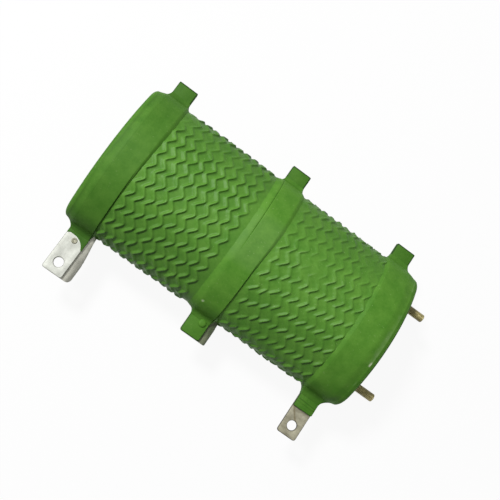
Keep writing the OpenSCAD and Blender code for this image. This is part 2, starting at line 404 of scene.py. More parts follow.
# Dark green of painted shade, mixed in where the per-point tone is low; the core's coat takes a fixed share
# of it
DARK_COAT = srgb(38, 72, 18)
# Pale green where the tone is above 1: wear on rubbed rims and chips, and painted highlight on ridge tops
PALE_WEAR_AND_HIGHLIGHT = srgb(212, 221, 188)
# Share of plain green in the coat on the tube's ends and inside; the rest is the dark green
CORE_TONE = 0.62


def coat_material(name, specular, roughness, shade_and_wear=True):
    """Dipped enamel: patchy green and slightly grainy. A low per-point tone paints shade with dark green,
    and a tone above 1 gives pale coat: wear on rubbed rims and chips, and painted highlight on ridge tops.
    """
    material = bpy.data.materials.new(name)
    n = Nodes(material)
    where = n.place()
    broad = n.noise(where, 55.0, 4.0)
    blotch = n.noise(where, 190.0, 3.0, 0.6)
    fine = n.noise(where, 900.0, 3.0, 0.6)
    grain = n.noise(where, 3200.0, 2.0)
    speck = n.remap(n.noise(where, 1300.0, 1.0), (0.7, 0.8), (0.0, 0.5))
    green = n.ramp(broad, (0.3, srgb(80, 136, 39)), (0.5, srgb(88, 144, 46)), (0.72, srgb(97, 151, 53)))
    green = n.mix(0.22, green, n.ramp(fine, (0.3, srgb(64, 116, 29)), (0.7, srgb(113, 164, 67))))
    green = n.mix(0.4, green, n.ramp(blotch, (0.34, srgb(72, 128, 35)), (0.66, srgb(107, 160, 59))))
    green = n.mix(speck, green, srgb(156, 188, 116))
    if shade_and_wear:
        tone = n.shade_and_wear()
        green = n.mix(tone, DARK_COAT, green)
        green = n.mix(n.math("SUBTRACT", tone, 1.0), green, PALE_WEAR_AND_HIGHLIGHT)
    else:
        green = n.mix(CORE_TONE, DARK_COAT, green)
    normal = n.bump(blotch, 0.3, 0.0005)
    normal = n.bump(fine, 0.4, 0.00014, normal)
    normal = n.bump(grain, 0.25, 0.00004, normal)
    rough = n.remap(fine, target=roughness)
    n.fill(n.tree.nodes["Principled BSDF"],
           {"Base Color": green, "Roughness": rough, "Specular IOR Level": specular, "Normal": normal})
    return material


def metal(name, dark, light, roughness, metallic, scale, brushed=(1.0, 1.0, 1.0), stain=None, rim_shade_and_grime=None):
    """Blotchy metal. Brushed stretches streaks, stain adds to the colour, and a rim colour, shown fully
    where the per-point tone is 0, paints shade and dirt on plate rims.
    """
    material = bpy.data.materials.new(name)
    n = Nodes(material)
    where = n.place()
    stretched = n.new("ShaderNodeMapping", {"Vector": where, "Scale": brushed}).outputs["Vector"]
    streak = n.noise(stretched, scale, 4.0, 0.6)
    blot = n.noise(where, 260.0, 4.0, 0.6)
    both = n.math("MULTIPLY_ADD", streak, 0.5, n.math("MULTIPLY", blot, 0.5))
    colour = n.ramp(both, (0.36, dark), (0.6, light))
    if stain:
        colour = stain(n, where, colour)
    if rim_shade_and_grime:
        colour = n.mix(n.shade_and_wear(), rim_shade_and_grime, colour)
    rough = n.remap(streak, (0.3, 0.7), roughness)
    normal = n.bump(streak, 0.2, 0.00005)
    n.fill(n.tree.nodes["Principled BSDF"],
           {"Base Color": colour, "Roughness": rough, "Metallic": metallic, "Normal": normal})
    return material


# A run of flux on the right terminal: its colour, ends, straying, half widths, fade and share
FLUX = srgb(112, 100, 66)
FLUX_FROM = (-16.6, -45.8)
FLUX_TO = (-12.1, -51.2)
FLUX_STRAY = 1.6
FLUX_WIDTHS = (0.1, 0.7)
FLUX_FADE_Y = (-53.5, -50.5)
FLUX_SHARE = 0.7


def flux_run(n, where, colour):
    """Adds the run of flux, weaker with the distance from the line between its ends."""
    place_of = n.new("ShaderNodeSeparateXYZ", {"Vector": where}).outputs
    warp = n.noise(where, 420.0, 3.0)
    x = n.math("MULTIPLY_ADD", warp, FLUX_STRAY * MM, place_of["X"])
    y = place_of["Y"]
    run = Vector(FLUX_TO) - Vector(FLUX_FROM)
    across = Vector((run.y, -run.x)).normalized()
    # The noise strays by half its range on average
    offset = (Vector(FLUX_FROM).dot(across) + FLUX_STRAY / 2 * across.x) * MM
    distance = n.math("MULTIPLY_ADD", x, across.x, n.math("MULTIPLY_ADD", y, across.y, -offset))
    widths = [w * MM for w in FLUX_WIDTHS]
    fade = [v * MM for v in FLUX_FADE_Y]
    stained = n.remap(n.math("ABSOLUTE", distance), widths, (FLUX_SHARE, 0.0))
    return n.mix(n.math("MULTIPLY", stained, n.remap(y, fade)), colour, FLUX)


COAT = coat_material("green_enamel", 0.22, (0.4, 0.58))
BAND_COAT = coat_material("green_enamel_band", 0.14, (0.5, 0.7))
CORE_COAT = coat_material("green_enamel_core", 0.14, (0.5, 0.7), shade_and_wear=False)
# The last colours of bright_tin and dull_tin darken the terminals' rims: painted shade, and on bright_tin
# dirt as well
TIN = metal("bright_tin", srgb(192, 194, 184), srgb(230, 232, 222), (0.45, 0.62), 0.1, 420.0,
            (1.0, 0.3, 1.0), rim_shade_and_grime=srgb(120, 120, 106))
STEEL = metal("grey_tin", srgb(158, 158, 146), srgb(206, 205, 192), (0.34, 0.5), 0.3, 800.0, (1.0, 0.1, 1.0))
WORN = metal("worn_coat", srgb(72, 88, 54), srgb(134, 142, 112), (0.5, 0.66), 0.0, 600.0, (1.0, 0.3, 1.0))
DULL = metal("dull_tin", srgb(128, 124, 102), srgb(182, 178, 154), (0.4, 0.6), 0.3, 300.0, (0.4, 1.0, 1.0),
             flux_run, srgb(52, 48, 38))
RIVET = metal("worn_rivet", srgb(112, 110, 90), srgb(186, 184, 162), (0.4, 0.6), 0.2, 700.0)
BRASS = metal("aged_brass", srgb(112, 104, 62), srgb(176, 165, 110), (0.3, 0.46), 0.3, 900.0,
              (0.2, 1.0, 1.0))


# Windings: a coat over core and ribbon, with ridges along the ribbon's zigzag

# Columns in a turn, and rows from one turn's ridge to the next, as shares
PER_TURN = 430
COLUMNS = (TURNS + 1) * PER_TURN
ROWS = np.array([0, 0.04, 0.08, 0.12, 0.165, 0.22, 0.3, 0.42, 0.56, 0.68, 0.76, 0.84, 0.9, 0.955])
# Sharpness of the zigzag's corners, below 1
CORNER = 0.86
# A ridge's section: its left foot along falling and rising legs, and its right side from top to foot, crisp
# along rising legs and sagged along falling ones
FALLING_FOOT = 1.45
RISING_FOOT = 0.95
FOOT_POWER = 1.4
CRISP_SIDE = (0.12, 0.76)
SAGGED_SIDE = (0.15, 1.3)
# Slope from which a leg is all rising or falling, and how much the zigzag's height varies
STEEP = 0.35
SWING = 0.07
# The coat between the ridges, how much thinner it is on the sides, what a flood adds, and its waves
COAT_T = 0.24
SIDE_THIN = 0.14
FLOOD_T = 0.22
COAT_WAVE = 0.05
BROAD_SIZE = 9.0
FINE_SIZE = 3.1
# The ridges' height, their waves, and the least and greatest height of all
RIDGE_H = 1.1
RIDGE_BROAD = 0.1
RIDGE_FINE = 0.08
HEIGHTS = (0.04, 1.17)
# The coat's two ends, so near to a band's edge, lie this deep in the core
AT_BAND = 0.02
TUCK = -0.15
# The painted shadow at a ridge's right foot, drawn as a dark crease: place, width, depth, what the sides
# add, and how fast it fades along low legs; and the painted shade that darkens the hollows
CREASE_AT = 0.85
CREASE_W = 0.45
CREASE_DARK = 0.4
CREASE_SIDES = 0.35
CREASE_FADE = 4
HOLLOW_SHADE = 0.17
# Where a flood is whole, and where it ends, as shares of its reach
FLOOD_FADE = (0.35, 1.0)

# The ribbon column by column: turn, place along X, slope, phase, and 1 where there is ribbon
Run = namedtuple("Run", "turn x slope phase ribbon")
# A place where the coat has run over the ridges, and the share of them it hides
Flood = namedtuple("Flood", "x along half_x half_along share")


def zigzag(phase):
    """A triangle wave with slightly rounded corners, 1 at whole phases."""
    return np.arcsin(CORNER * np.cos(2 * np.pi * phase)) / math.asin(CORNER)


def stepped(values, turn):
    """Value of the nearest whole turn; it changes on the rear."""
    change = (0.27, 0.73)
    values = np.array(values)
    whole = np.floor(turn).astype(int)
    here, after = (values[np.clip(whole + k, 0, len(values) - 1)] for k in (0, 1))
    return here + (after - here) * smooth(*change, turn - np.floor(turn))


def ribbon_run(edges, first_gap, shifts, wobble, seed):
    """The zigzag, with one turn more before and after it that lie at the bands' edges."""
    index = np.arange(-PER_TURN, COLUMNS + 1)
    turn = index / PER_TURN - 0.5
    real = (index >= 0) & (index <= TURNS * PER_TURN)
    from_end = np.minimum(turn + 0.5, TURNS - 0.5 - turn)
    lead = np.maximum(0, 1 - from_end / LEAD_TURNS)
    first = turn + 0.5 < TURNS / 2
    end_x = np.where(first, edges[0] + ZIGZAG_REACH, edges[1] - ZIGZAG_REACH)
    coil = edges[0] + first_gap + PITCH * turn
    line = coil + (end_x - coil) * lead
    line = np.where(first, np.maximum(line, end_x), np.minimum(line, end_x))
    phase = WAVES * (turn + 0.5) + stepped(shifts, turn)
    swing = 1 - SWING * (1 - np.sin(1.7 * phase + seed))
    wave = WAVE_AMP * zigzag(phase) * swing + wobble * np.sin(4.3 * phase + 2 * seed)
    slope = np.gradient(wave, ROUND_LEN / PER_TURN)
    x = np.where(real, line + wave, np.where(index < 0, *edges))
    return Run(turn, x, slope, phase, real.astype(float))


def leg_heights(phase, uneven, seed):
    """Height of the zigzag's legs, each lowered at random by up to uneven."""
    legs = np.random.default_rng(int(10 * seed)).random(int(2 * phase.max()) + 2)
    return 1 - uneven * np.interp(2 * phase, np.arange(len(legs)), legs)


def winding_coat(run, edges, floods, sunk, uneven, lumps, tone, seed):
    """Place along X and along the oval, height and tone of the coat, column by column; the tone holds
    painted shade and highlight.
    """
    here = np.arange(COLUMNS)
    there = here + PER_TURN
    start, end = run.x[here][:, None], run.x[there][:, None]
    x = start + (end - start) * ROWS
    along = np.broadcast_to(((run.turn[here] % 1.0) * ROUND_LEN)[:, None], x.shape)
    across = (1 / np.sqrt(1 + run.slope ** 2))[:, None]
    from_here = (x - start) * across[here]
    to_there = (end - x) * across[there]
    rising = smooth(-STEEP, STEEP, run.slope)[:, None]
    tall = (run.ribbon * leg_heights(run.phase, uneven, seed))[:, None] * (1 - sunk * (1 - rising))
    crisp = 1 - smooth(*CRISP_SIDE, from_here)
    sagged = 1 - smooth(*SAGGED_SIDE, from_here)
    right_side = (sagged + (crisp - sagged) * rising[here]) * tall[here]
    foot = FALLING_FOOT + (RISING_FOOT - FALLING_FOOT) * rising[there]
    left_side = (1 - np.clip(to_there / foot, 0, 1) ** FOOT_POWER) * tall[there]
    ridge = np.maximum(right_side, left_side)
    keep = np.ones_like(x)
    for flood in floods:
        away = np.hypot((x - flood.x) / flood.half_x, round_from(along, flood.along) / flood.half_along)
        keep *= 1 - flood.share * (1 - smooth(*FLOOD_FADE, away))
    sides = (1 - side_shade_keep(along)) / (SIDE_SHADE_SHARE + SIDE_SHADE_EDGE_SHARE)
    broad = unevenness(x, along, BROAD_SIZE, seed)
    fine = unevenness(x, along, FINE_SIZE, seed + 1.7)
    coat = COAT_T - SIDE_THIN * sides + COAT_WAVE * broad + lumps * fine + FLOOD_T * (1 - keep)
    out = coat + ridge * keep * (RIDGE_H - coat + RIDGE_BROAD * broad + RIDGE_FINE * fine)
    to_band = np.minimum(x - edges[0], edges[1] - x)
    out = np.where(to_band < AT_BAND, TUCK, np.clip(out, *HEIGHTS))
    # Painted shade: hollows between the ridges darker, and a dark crease as the shadow at a ridge's right
    # foot, stronger on the sides; the ridge tops keep the greatest tone
    crease = bell(from_here, CREASE_AT, CREASE_W) * run.ribbon[here][:, None]
    crease *= rising[here] + (1 - rising[here]) * (1 - sunk) ** CREASE_FADE
    dark = HOLLOW_SHADE * (1 - ridge) + (CREASE_DARK + CREASE_SIDES * sides) * crease * keep
    shade_and_wear = np.clip(tone - dark, 0, tone) * side_shade_keep(along)
    return x, along, out, shade_and_wear


def winding_faces():
    """Faces of a winding's closed skin: columns of rows, then a turn along the far band."""
    rows = len(ROWS)
    tail = COLUMNS * rows + np.arange(PER_TURN)
    at = np.arange(COLUMNS * rows).reshape(COLUMNS, rows)
    # After a column's last row comes the first of the next turn
    at = np.column_stack([at, np.concatenate([at[PER_TURN:, 0], tail])])
    faces = [*np.stack([at[:-1, :-1], at[1:, :-1], at[1:, 1:], at[:-1, 1:]], -1).reshape(-1, 4)]
    # The seam on the rear, at the start of the first turn and the end of the last
    faces += [(at[PER_TURN - 1, 0], at[0, k + 1], at[0, k]) for k in range(rows)]
    faces += [(at[-1, k], tail[0], at[-1, k + 1]) for k in range(rows)]
    # Inside, straight from band to band
    for i in range(PER_TURN):
        j = (i + 1) % PER_TURN
        faces.append((at[i, 0], tail[i], tail[j], at[j, 0]))
    return faces


def winding(name, node, edges, first_gap, shifts, floods, sunk, wobble, uneven, lumps, tone, seed):
    """Coat over one winding. Shifts place its turns against even steps, in waves, sunk lowers falling legs,
    wobble lets the ribbon stray, uneven lowers single legs, and the given tone is the coat's greatest, on
    the ridge tops, where above 1 it paints a pale highlight."""
    run = ribbon_run(edges, first_gap, shifts, wobble, seed)
    x, along, out, shade_and_wear = winding_coat(run, edges, floods, sunk, uneven, lumps, tone, seed)
    tail_along = (run.turn[COLUMNS:COLUMNS + PER_TURN] % 1.0) * ROUND_LEN
    tail = on_oval(np.full(PER_TURN, edges[1]), tail_along, TUCK)
    mesh = solid(np.concatenate([on_oval(x, along, out), tail]), winding_faces())
    set_shade_and_wear(mesh, np.concatenate([shade_and_wear.ravel(), np.ones(PER_TURN)]))
    place(name, mesh, COAT, (node,))


winding(
    "winding_left", "resistance_ribbon_left", (LEFT_BAND[1], CENTRE_BAND[0]), LEFT_FIRST_GAP,
    shifts=[0.7, 0.73, 0.64, 0.35, 0.7, 0.3, 0.32, -0.03, 0.0, -0.36, -0.28],
    floods=[Flood(-131, 34, 8, 12, 0.8), Flood(-108, 28, 32, 10, 0.55), Flood(-84, 20, 5, 25, 0.35)],
    sunk=0.24, wobble=0.07, uneven=0.2, lumps=0.03, tone=1.05, seed=1.0)
winding(
    "winding_right", "resistance_ribbon_right", (CENTRE_BAND[1], RIGHT_BAND[0]), RIGHT_FIRST_GAP,
    shifts=[0.9, 0.87, 0.59, 0.43, 0.56, 0.5, 0.56, 0.5, 0.51, 0.57, 0.32],
    floods=[Flood(-45, 22, 40, 24, 0.3), Flood(-48, 7, 9, 10, 0.8), Flood(-24, 24, 9, 11, 0.8),
            Flood(-64, 34, 8, 10, 0.3)],
    sunk=0.46, wobble=0.28, uneven=0.62, lumps=0.08, tone=1.11, seed=2.4)


# Bands: a coated ring over the strap, with soft edges and a flare at each lug's root

# Columns lie closer together within this distance of the lugs
LUG_ZONE = 7.0
LUG_STEP = 0.25
PLAIN_STEP = 1.0
ZONE_GAP = 0.3
# Slopes get a least width within this distance of the lugs
BESIDE_LUG = 9.0
# Rows on a soft slope, across an edge's crack, and on the strap between
SLOPE_ROWS = np.linspace(0, 1, 13)[:-1]
CRACK_ROWS = (-0.22, -0.12, 0.0, 0.12, 0.24)
TOP_COUNT = 15
TOP_INSET = 0.6
# A slope ends this far outside the strap's edge and is full this far inside it
SLOPE_FOOT = 0.3
SLOPE_TOP = 0.15
# The ring's height, crown, limit, waves, hidden inside, and share in the painted shade on the sides
RING_H = 1.16
RING_CROWN = 0.05
RING_MOST = 1.24
RING_BROAD = 0.05
RING_BROAD_SIZE = 11.0
RING_FINE = 0.03
RING_FINE_SIZE = 4.0
RING_INSIDE = -0.3
RING_SIDE_SHADE = 0.6
# A crack's width at a strap's edge, and how dark its depth makes the coat: painted shadow and dirt in the
# crack
CRACK_W = 0.11
CRACK_DARK = 1.6
# Half the thickness of a lug pair, from which its flares start
LUG_HALF = 1.2
# Painted shade in a flare's hollow at the upper and lower lugs: how dark it is, and its place and width
FLARE_UPPER_SHADE = 0.08
FLARE_LOWER_SHADE = 0.2
FLARE_AT = 0.35
FLARE_W = 0.25
# Painted shade by the lower lugs: the coat is darker by this much, within this distance
LOWER_SHADE = 0.12
LOWER_REACH = 16.0
SHADE_AND_WEAR_MOST = 1.1
# The tube's rims: where they're rubbed, how pale, how much at the left and right end and between patches,
# and the dark line of painted shade beside the left end
RUB_AT = 2.4
RUB_W = 2.0
RUB_PALE = 1.3
RUB_LEFT = 0.3
RUB_RIGHT = 0.6
RUB_LEAST = 0.3
END_SHADE = 0.3
END_SHADE_AT = 1.6
END_SHADE_W = 1.8
CHIP_X = 1.0
CHIP_ALONG = 0.9

# The coat's swelling at a lug's root: its reach left, right and round the oval, and its height
Flare = namedtuple("Flare", "along left right round height")
# A spot where the coat is knocked off, and how bare it is
Chip = namedtuple("Chip", "x along bare")


def rim_drop(x):
    """How far the core's rounded rims lie below its plain surface."""
    into = np.clip(np.maximum(CORE_X[0] + RIM_R - x, x - CORE_X[1] + RIM_R), 0, RIM_R)
    return RIM_R - np.sqrt(RIM_R ** 2 - into ** 2)


def band_grid(edges, left_w, right_w):
    """Places along X of a ring's points, a row for each column."""
    left, right = edges
    tops = np.linspace(TOP_INSET, right - left - TOP_INSET, TOP_COUNT)
    rows = [left - SLOPE_FOOT - left_w * (1 - u) for u in SLOPE_ROWS]
    rows += [np.full_like(RING, left + step) for step in (*CRACK_ROWS, *tops)]
    rows += [np.full_like(RING, right + step) for step in CRACK_ROWS]
    rows += [right + SLOPE_FOOT + right_w * (1 - u) for u in SLOPE_ROWS[::-1]]
    return np.array(rows).T


def band_columns():
    """Places along the oval of a ring's columns."""
    plain = np.arange(0, ROUND_LEN, PLAIN_STEP)
    close = np.arange(-LUG_ZONE, LUG_ZONE + 0.01, LUG_STEP)
    for centre in (APEX, -APEX):
        plain = plain[np.abs(round_from(plain, centre)) > LUG_ZONE + ZONE_GAP]
    return np.sort(np.concatenate([plain, APEX + close, ROUND_LEN - APEX + close]))


RING = band_columns()


def upper_part(none, full):
    """0 up to one distance from the front's middle line towards +Y, and 1 from another on."""
    return smooth(none, full, round_from(RING))


def flare_distance(x, along, edges, flare):
    """0 at a lug's root, 1 where its flare ends."""
    left, right = edges
    beside = np.where(x < left, (left - x) / flare.left, np.where(x > right, (x - right) / flare.right, 0))
    off = np.maximum(np.abs(round_from(along, flare.along)) - LUG_HALF, 0) / flare.round
    return np.clip(np.hypot(beside, off), 0, 1)


def band_height(x, along, edges, left_w, right_w, dip, flares, seed):
    """Height of a ring over the core."""
    left, right = edges
    full = SLOPE_FOOT + SLOPE_TOP
    rise_left = smooth(0, 1, (x - (left - SLOPE_FOOT - left_w)) / (left_w + full))
    rise_right = smooth(0, 1, ((right + SLOPE_FOOT + right_w) - x) / (right_w + full))
    rise = np.minimum(rise_left, rise_right)
    crown = RING_CROWN * np.clip(1 - ((x - (left + right) / 2) / (right - left) * 2) ** 2, 0, 1)
    waves = RING_BROAD * unevenness(x, along, RING_BROAD_SIZE, seed)
    waves += RING_FINE * unevenness(x, along, RING_FINE_SIZE, seed + 0.9)
    out = TUCK + (RING_H - TUCK + crown + waves) * rise - rim_drop(x)
    out = np.minimum(out, RING_MOST) - dip
    for flare in flares:
        inward = 1 - flare_distance(x, along, edges, flare)
        out = out + flare.height * (1 - np.sqrt(np.clip(1 - inward ** 2, 0, 1)))
    return out


def band_shade_and_wear(x, along, edges, dip, flares, tone, chips):
    """Tone of a ring's coat: darker in cracks, as painted shadow and dirt; painted shade on the sides, in
    the flares' hollows, by the lower lugs and beside the left end; pale wear on rubbed rims and chips.
    """
    shade_and_wear = np.clip(tone - CRACK_DARK * dip, 0, SHADE_AND_WEAR_MOST) * (1 - RING_SIDE_SHADE * (1 - side_shade_keep(along)))
    for flare in flares:
        dark = FLARE_UPPER_SHADE if flare.along > 0 else FLARE_LOWER_SHADE
        shade_and_wear = shade_and_wear - dark * bell(flare_distance(x, along, edges, flare), FLARE_AT, FLARE_W)
    shade_and_wear = np.clip(shade_and_wear - LOWER_SHADE * near(along, -APEX, LOWER_REACH), 0, SHADE_AND_WEAR_MOST)
    shade_and_wear = shade_and_wear - END_SHADE * bell(x, CORE_X[0] + END_SHADE_AT, END_SHADE_W)
    points = [Vector(p) for p in on_oval(x, along, 0.0)]
    spots = [noise.noise(p * 0.13) + 0.6 * noise.noise(p * 0.5) for p in points]
    patches = smooth(-0.3, 0.6, np.array(spots).reshape(x.shape))
    from_rim = np.minimum(x - CORE_X[0], CORE_X[1] - x)
    rubbed = bell(from_rim, RUB_AT, RUB_W) * (RUB_LEAST + (1 - RUB_LEAST) * patches)
    shade_and_wear = shade_and_wear + (RUB_PALE - shade_and_wear) * np.where(x < CENTRE_BAND[0], RUB_LEFT, RUB_RIGHT) * rubbed
    for chip in chips:
        spot = bell(x, chip.x, CHIP_X) * bell(round_from(along, chip.along), 0, CHIP_ALONG)
        shade_and_wear = np.maximum(shade_and_wear, (1 + chip.bare) * spot)
    return shade_and_wear


def band_ring(edges, soft_left, soft_right, cracks, flares, tone, chips, seed):
    """Ring over the strap. The widths of its slopes and the depths of its cracks are a number or a value for
    each column, and the given tone is that of plain coat."""
    given = (soft_left, soft_right, *cracks)
    left_w, right_w, *depths = (np.broadcast_to(values, RING.shape) for values in given)
    x = band_grid(edges, left_w, right_w)
    columns, rows = x.shape
    along = np.broadcast_to(RING[:, None], x.shape)
    dip = np.zeros_like(x)
    for depth, edge in zip(depths, edges):
        dip += depth[:, None] * bell(x, edge, CRACK_W)
    out = band_height(x, along, edges, left_w[:, None], right_w[:, None], dip, flares, seed)
    shade_and_wear = band_shade_and_wear(x, along, edges, dip, flares, tone, chips)
    inside = [on_oval(x[:, k], RING, RING_INSIDE) for k in (0, -1)]
    # A column's points in turn: its rows, then the inside at its right and left end
    loops = []
    for i in range(columns):
        loops.append([*range(i * rows, (i + 1) * rows), (rows + 1) * columns + i, rows * columns + i])
    mesh = solid(np.concatenate([on_oval(x, along, out), *inside]), loft(loops + loops[:1]))
    return set_shade_and_wear(mesh, np.concatenate([shade_and_wear.ravel(), np.ones(2 * columns)]))


def at_lugs(least, plain):
    """A slope's width that is at least so much beside the lugs."""
    beside = np.maximum(near(RING, APEX, BESIDE_LUG), near(RING, -APEX, BESIDE_LUG))
    return np.maximum(plain, least * beside + plain * (1 - beside))


# The crack at a band's right edge, on the lower part of the front
LOWER_CRACK = 0.5 * (1 - upper_part(-16, 2))


# Lugs and terminals: flat plates, rolled sheets and rivet heads

HOLE_SEGMENTS = 48


def rounded(points, radii, steps=6):
    """Outline with each corner rounded by its radius."""
    result = []
    for i, (point, radius) in enumerate(zip(points, radii)):
        point = Vector(point)
        if radius <= 0:
            result.append(tuple(point))
            continue
        before = (Vector(points[i - 1]) - point).normalized()
        after = (Vector(points[(i + 1) % len(points)]) - point).normalized()
        half = before.angle(after) / 2
        tangent = radius / math.tan(half)
        centre = point + (before + after).normalized() * (radius / math.sin(half))
        start, end = point + before * tangent - centre, point + after * tangent - centre
        turn = start.angle_signed(end)
        for step in range(steps + 1):
            spoke = start.copy()
            spoke.rotate(Matrix.Rotation(-turn * step / steps, 2))
            result.append(tuple(centre + spoke))
    return result


def plate(outline, layer, bevel, holes=()):
    """Flat plate of an outline between two heights, with rounded edges and round holes."""
    low, high = layer
    curve = bpy.data.curves.new("plate", "CURVE")
    curve.dimensions = "2D"
    curve.fill_mode = "BOTH"
    curve.extrude = ((high - low) / 2 - bevel) * MM
    curve.bevel_depth = bevel * MM
    curve.bevel_resolution = 2
    curve.offset = -bevel * MM
    loops = [outline]
    for x, y, d in holes:
        loops.append([(x + d / 2 * math.cos(t), y + d / 2 * math.sin(t)) for t in around(HOLE_SEGMENTS)])
    for loop in loops:
        spline = curve.splines.new("POLY")
        spline.points.add(len(loop) - 1)
        spline.use_cyclic_u = True
        for point, (x, y) in zip(spline.points, loop):
            point.co = (x * MM, y * MM, 0, 1)
    obj = link("plate", curve)
    mesh = evaluated(obj)
    # The object goes with it
    bpy.data.curves.remove(curve)
    mesh.transform(Matrix.Translation((0, 0, (low + high) / 2 * MM)))
    return outward(mesh, merge=2e-6)


def lug_outline(edges, root_y, tip_y, corner):
    """Outline of a lug with two rounded corners at its tip."""
    left, right = edges
    return rounded([(left, root_y), (right, root_y), (right, tip_y), (left, tip_y)], [0, 0, corner, corner])


# A rolled sheet: its start past the roll's line, where it's open before the tip, rounding, least width
ROLL_GAP = 0.2
ROLL_OPEN = 6.0
SHEET_EDGE = 0.22
SHEET_LEAST = 0.5


def rolled_sheet(edges, roll_from, tip_y, corner, roll_deg):
    """The rear layer of a lug with rounded corners at its tip. Its edge at +X rolls towards -Z, by one angle
    at its root and another at its tip."""
    left, right = edges
    flat = right - left
    roll_mid = ROLL_R + STRAP_T / 2
    level = REAR[1] - STRAP_T / 2
    arcs = np.radians(roll_deg)
    straight = np.linspace(roll_from - ROLL_GAP, tip_y + corner, 26)
    tip = tip_y + corner * (1 - np.sin(np.linspace(0, QUARTER, 12)[1:]))
    ys = np.concatenate([straight, tip])
    us = np.concatenate([np.linspace(0, flat, 22), flat + np.linspace(0, roll_mid * max(arcs), 14)[1:]])
    verts = []
    for y in ys:
        from_tip = min(y - tip_y, corner)
        inset = corner - math.sqrt(max(0, corner ** 2 - (corner - from_tip) ** 2))
        opened = float(smooth(roll_from, tip_y + ROLL_OPEN, y))
        width = flat + roll_mid * (arcs[0] + (arcs[1] - arcs[0]) * opened)
        end = max(width - inset, inset + SHEET_LEAST)
        u = np.clip(us, inset, end)
        # The two long edges are rounded by pulling the thickness in
        rim = np.minimum(np.minimum(u - inset, end - u), SHEET_EDGE)
        pulled = SHEET_EDGE - np.sqrt(np.clip(SHEET_EDGE ** 2 - (SHEET_EDGE - rim) ** 2, 0, None))
        half = STRAP_T / 2 - pulled
        angle = np.maximum(u - flat, 0) / roll_mid
        for side in (half, -half):
            r = roll_mid + side
            x = np.where(angle > 0, right + r * np.sin(angle), left + np.minimum(u, flat))
            z = np.where(angle > 0, level - roll_mid + r * np.cos(angle), level + side)
            verts.append(np.stack([x, np.full_like(x, y), z], 1))
    # Each row is a closed loop: the top from left to right, and the bottom back
    count = len(us)
    loops = []
    for k in range(len(ys)):
        first = 2 * k * count
        loops.append([*range(first, first + count), *reversed(range(first + count, first + 2 * count))])
    faces = loft(loops)
    for loop in (loops[0], loops[-1]):
        for i in range(count - 1):
            faces.append((loop[i], loop[i + 1], loop[-i - 2], loop[-i - 1]))
    return solid(np.concatenate(verts), faces, merge=1e-6)


def round_hole(mesh, hole, depth=10.0):
    """Mesh with a round hole cut through it along Z."""
    x, y, d = hole
    tool = bmesh.new()
    radius = d / 2 * MM
    bmesh.ops.create_cone(tool, cap_ends=True, segments=HOLE_SEGMENTS, radius1=radius, radius2=radius,
                          depth=depth * MM, matrix=Matrix.Translation((x * MM, y * MM, 0)))
    return cut(mesh, tool)


def dome(at, foot_z, radius, height, flat=0.72, hollow=0.0):
    """Low round head, its foot buried. Flat is the level share of its radius, hollow its middle's depth."""
    buried = 0.3
    count = 32
    x, y = at
    profile = [(radius, -buried)]
    for t in np.linspace(0, QUARTER, 8):
        profile.append((radius * (flat + (1 - flat) * math.cos(t)), height * math.sin(t)))
    if hollow:
        for t in np.linspace(0, 1, 6)[1:-1]:
            profile.append((radius * flat * (1 - t), height - hollow * smooth(0.1, 0.6, t)))
    top = height - hollow if hollow else height * 1.04
    verts = []
    for r, h in profile:
        verts += [(x + r * math.cos(t), y + r * math.sin(t), foot_z + h) for t in around(count)]
    rings = np.arange(len(verts)).reshape(-1, count)
    faces = loft(rings)
    for i in range(count):
        faces.append((rings[-1, i - 1], rings[-1, i], len(verts)))
        faces.append((rings[0, i], rings[0, i - 1], len(verts) + 1))
    return solid(verts + [(x, y, foot_z + top), (x, y, foot_z - buried)], faces)


# Where bare terminals start under the coat, and raised coat inside a lug
TERMINAL_ROOT = -CORE_W / 2 - 1
RAISED_FROM = 0.6
# Degrees from which edges stay sharp, on coat and rivets, and on bare metal
COAT_SHARP = 50
METAL_SHARP = 40
# Tones of the lugs' faces and of their rims, darkened as painted shade, and the painted shade of a fold's
# crease and of the coat's end on the left terminal
UPPER_TONE = 0.62
LEFT_UPPER_TONE = 0.5
REAR_TONE = 0.6
LOWER_TONE = 0.68
LUG_RIM_SHADE = 0.15
FOLD_CREASE_SHADE = 0.42
COAT_END_SHADE = 0.36


def upper_lug(edges, tone=UPPER_TONE):
    """Short coated lug at +Y: a front layer at the darkest tone, showing as a rim of painted shade round the
    face set on it, and a rear layer.
    """
    bevel = 0.3
    rim = 0.6
    over = 0.05
    outline = lug_outline(edges, LUG_ROOT, UPPER_TIP, corner=0.5)
    face = lug_outline((edges[0] + rim / 2, edges[1] - rim), LUG_ROOT, UPPER_TIP - rim, corner=0.4)
    return [shaded(plate(outline, FRONT, bevel), 0.0),
            shaded(plate(face, (RAISED_FROM, FRONT[1] + over), over), tone),
            shaded(plate(outline, REAR, bevel), REAR_TONE, LUG_RIM_SHADE)]


def lower_lug(edges, tip_y, bevel, corner):
    """Coated front lug at -Y, its rim darkened as painted shade."""
    outline = lug_outline(edges, -LUG_ROOT, tip_y, corner)
    return shaded(plate(outline, FRONT, bevel), LOWER_TONE, LUG_RIM_SHADE)


def fold(edges, y):
    """Cross fold on the front of a lug: a crease darkened as painted shade, and a low swelling below it."""
    left, right = edges[0] + 0.8, edges[1] - 0.6
    crease = [(left, y + 0.5), (right, y - 0.1), (right, y - 0.75), (left, y - 0.15)]
    swelling = [(left - 0.6, y - 0.1), (right, y - 0.6), (right + 0.5, y - 1.6), (left - 0.6, y - 1.3)]
    return [shaded(plate(rounded(crease, [0.15] * 4), (RAISED_FROM, 1.29), bevel=0.04), FOLD_CREASE_SHADE),
            shaded(plate(rounded(swelling, [0.4] * 4), (RAISED_FROM, 1.45), bevel=0.2), LOWER_TONE)]


